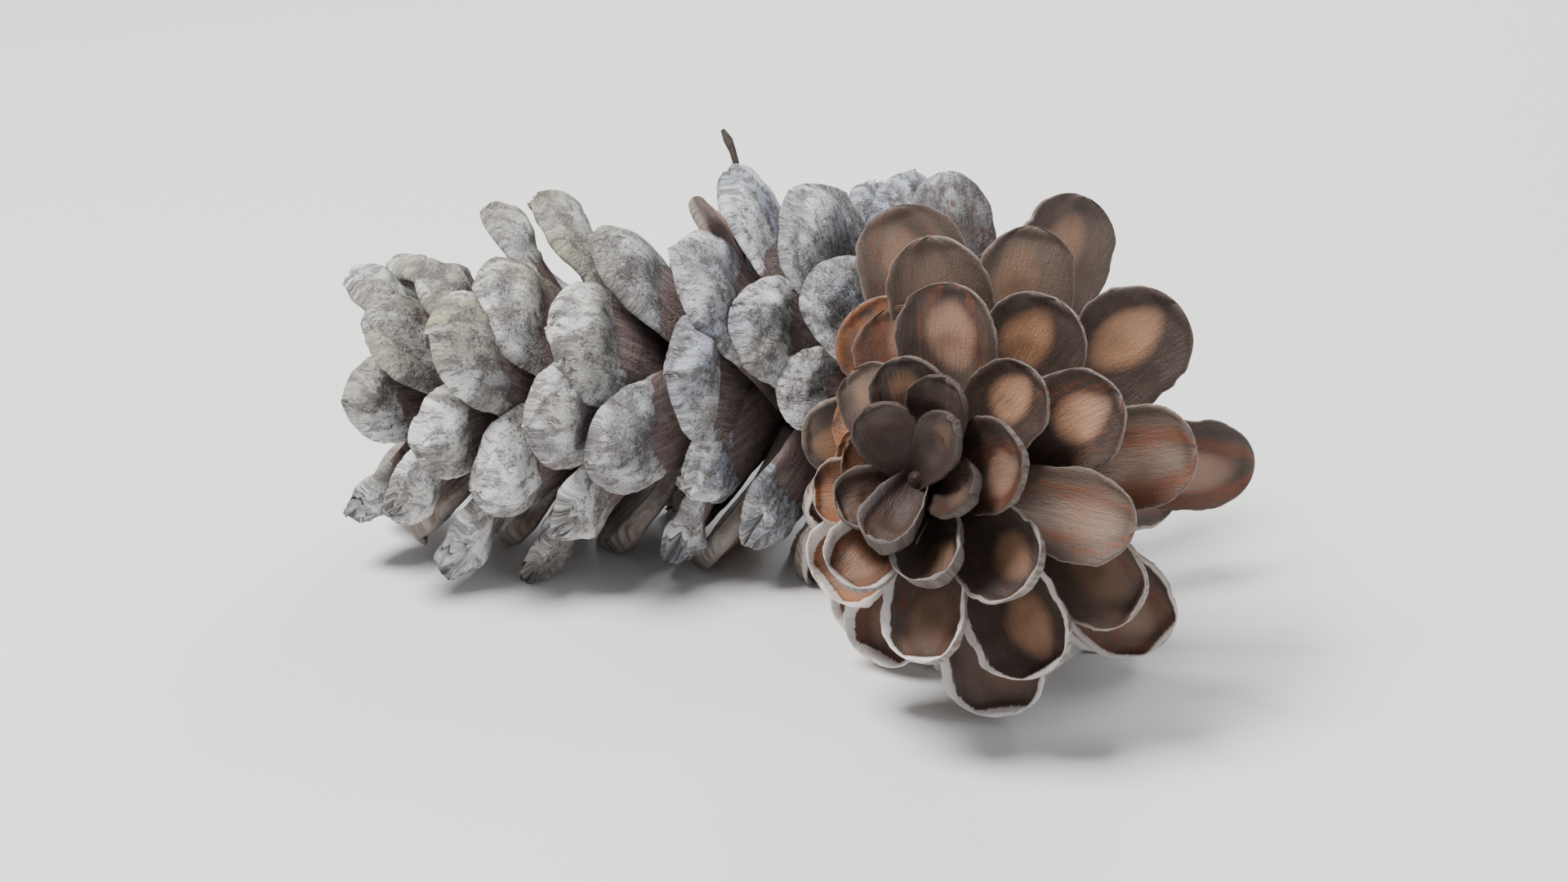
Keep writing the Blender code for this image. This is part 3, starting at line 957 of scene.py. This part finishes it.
def barkMaterial(name, light, dark):
    material, make, shader = startMaterial(name)
    spot = make.add("ShaderNodeTexCoord", None, None, "Object")
    mottle = make.noise(spot, *barkLook["mottle"])
    fine = make.noise(spot, *barkLook["fine"])
    colour = blend(make, make.step(mottle, *barkLook["mottleSpan"]), dark, light)
    make.put(shader.inputs["Base Color"], colour)
    roughness = barkLook["roughness"] + (fine - 0.5) * barkLook["roughnessSpread"]
    make.put(shader.inputs["Roughness"], roughness)
    height = mottle + fine * barkLook["bumpFine"]
    bump = make.add("ShaderNodeBump", None, {
        "Strength": barkLook["bumpStrength"], "Distance": barkLook["bumpDistance"] * mm, "Height": height})
    make.put(shader.inputs["Normal"], bump)
    return material


# the pieces
scales = scaleList()
baseCount = sum(1 for scale in scales if scale["place"] < cone["splitPlace"])
scaleGrowth = scaleTree()
tubeGrowth = tubeTree()
coneScales = scaleMaterial()
axisBark = barkMaterial("axisBark", *barkLook["axisColours"])
threadWood = barkMaterial("threadWood", *barkLook["threadColours"])
print("scales", len(scales), "of them in the base half", baseCount)

baseScales = growPiece("base_scales", scalePoints(scales[:baseCount]), scaleGrowth,
                       {"Seed": scaleShape["baseSeed"], "Material": coneScales})
tipScales = growPiece("tip_scales", scalePoints(scales[baseCount:]), scaleGrowth,
                      {"Seed": scaleShape["tipSeed"], "Material": coneScales})
coneAxis = growPiece("cone_axis", axisPoints(), tubeGrowth,
                     {"Sides": tubes["axisSides"], "Relief": tubes["barkHeight"] * mm,
                      "Relief Scale": tubes["barkScale"], "Material": axisBark})
thread = growPiece("dried_thread", threadPoints(), tubeGrowth,
                   {"Sides": tubes["threadSides"], "Relief": tubes["threadHeight"] * mm,
                    "Relief Scale": tubes["threadScale"], "Material": threadWood})
conePieces = [baseScales, tipScales, coneAxis, thread]


def settle(pieces):
    # moves the pieces to the solid's place, keeps them in its box and presses the lowest tips flat
    spots = [vertex.co for piece in pieces for vertex in piece.data.vertices]
    low = [min(spot[i] for spot in spots) for i in range(3)]
    high = [max(spot[i] for spot in spots) for i in range(3)]
    shift = Vector(((low[0] + high[0]) / 2, (low[1] + high[1]) / 2, cone["flatDepth"] * mm))
    boxShare = cone["boxShare"]
    fit = [min(1.0, boxShare * 2 * cadBox[1][i] / (high[i] - low[i])) for i in range(2)]
    fit.append(min(1.0, boxShare * cadBox[1][2] / (high[2] - shift.z)))
    pressedHeight = cone["pressedHeight"] * mm
    for piece in pieces:
        for vertex in piece.data.vertices:
            vertex.co = (vertex.co - shift) * Vector(fit)
            if vertex.co.z < pressedHeight:
                vertex.co.z = pressedHeight * math.exp(vertex.co.z / pressedHeight - 1)
        piece.data.update()
    print("shift in mm", [round(value / mm, 2) for value in shift], "fit", [round(f, 4) for f in fit])


settle(conePieces)
for piece in conePieces:
    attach(piece, "root")
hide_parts("pine_cone")


# the studio, in metres
studio = {
    "floorSize": 6.0,
    "floorColour": (0.86, 0.86, 0.855),
    "fibreColour": (0.70, 0.70, 0.69),
    "fibreNoise": (900.0, 3.0, 0.6),
    "fibreStrength": 0.1,
    "floorRoughness": 0.85,
    "aim": (0.0, -0.002, 0.029),
    "distance": 0.50,
    "elevation": 25.0,  # degrees
    "lens": 78.0,  # mm
    "nearest": 0.01,
    "worldColour": (0.80, 0.83, 0.87),
    "worldStrength": 0.33,
    # place, size, power in watts, colour
    "lights": {
        "keyLight": ((-0.35, -0.15, 0.80), 0.35, 14.5, (1.0, 0.98, 0.95)),
        "fillLight": ((0.6, -0.5, 0.45), 0.6, 2.0, (0.93, 0.96, 1.0)),
        "backLight": ((0.25, 0.6, 0.5), 0.4, 4.0, (1.0, 1.0, 1.0)),
    },
}


def addFloor():
    mesh = bpy.data.meshes.new("studio_floor")
    reach = studio["floorSize"] / 2
    corners = [(-reach, -reach, 0), (reach, -reach, 0), (reach, reach, 0), (-reach, reach, 0)]
    mesh.from_pydata(corners, [], [(0, 1, 2, 3)])
    floor = bpy.data.objects.new("studio_floor", mesh)
    scene.collection.objects.link(floor)
    material, make, shader = startMaterial("palePaper")
    spot = make.add("ShaderNodeTexCoord", None, None, "Object")
    fibre = make.noise(spot, *studio["fibreNoise"])
    colour = blend(make, fibre * studio["fibreStrength"], studio["floorColour"], studio["fibreColour"])
    make.put(shader.inputs["Base Color"], colour)
    roughness = studio["floorRoughness"] + (fibre - 0.5) * studio["fibreStrength"]
    make.put(shader.inputs["Roughness"], roughness)
    mesh.materials.append(material)


def addLight(name, place, size, power, colour):
    data = bpy.data.lights.new(name, "AREA")
    data.shape = "DISK"
    data.size = size
    data.energy = power
    data.color = colour
    light = bpy.data.objects.new(name, data)
    scene.collection.objects.link(light)
    light.location = place
    light.rotation_euler = (Vector(studio["aim"]) - light.location).to_track_quat("-Z", "Y").to_euler()


def addCamera():
    data = bpy.data.cameras.new("camera")
    data.lens = studio["lens"]
    data.clip_start = studio["nearest"]
    camera = bpy.data.objects.new("camera", data)
    scene.collection.objects.link(camera)
    tilt = math.radians(studio["elevation"])
    back = Vector((0, -math.cos(tilt), math.sin(tilt)))
    camera.location = Vector(studio["aim"]) + back * studio["distance"]
    camera.rotation_euler = (-back).to_track_quat("-Z", "Y").to_euler()
    scene.camera = camera


def addWorld():
    world = bpy.data.worlds.new("studio")
    world.use_nodes = True
    background = world.node_tree.nodes["Background"]
    background.inputs["Color"].default_value = (*studio["worldColour"], 1)
    background.inputs["Strength"].default_value = studio["worldStrength"]
    scene.world = world


addFloor()
for name, settings in studio["lights"].items():
    addLight(name, *settings)
addCamera()
addWorld()
print("studio ready")
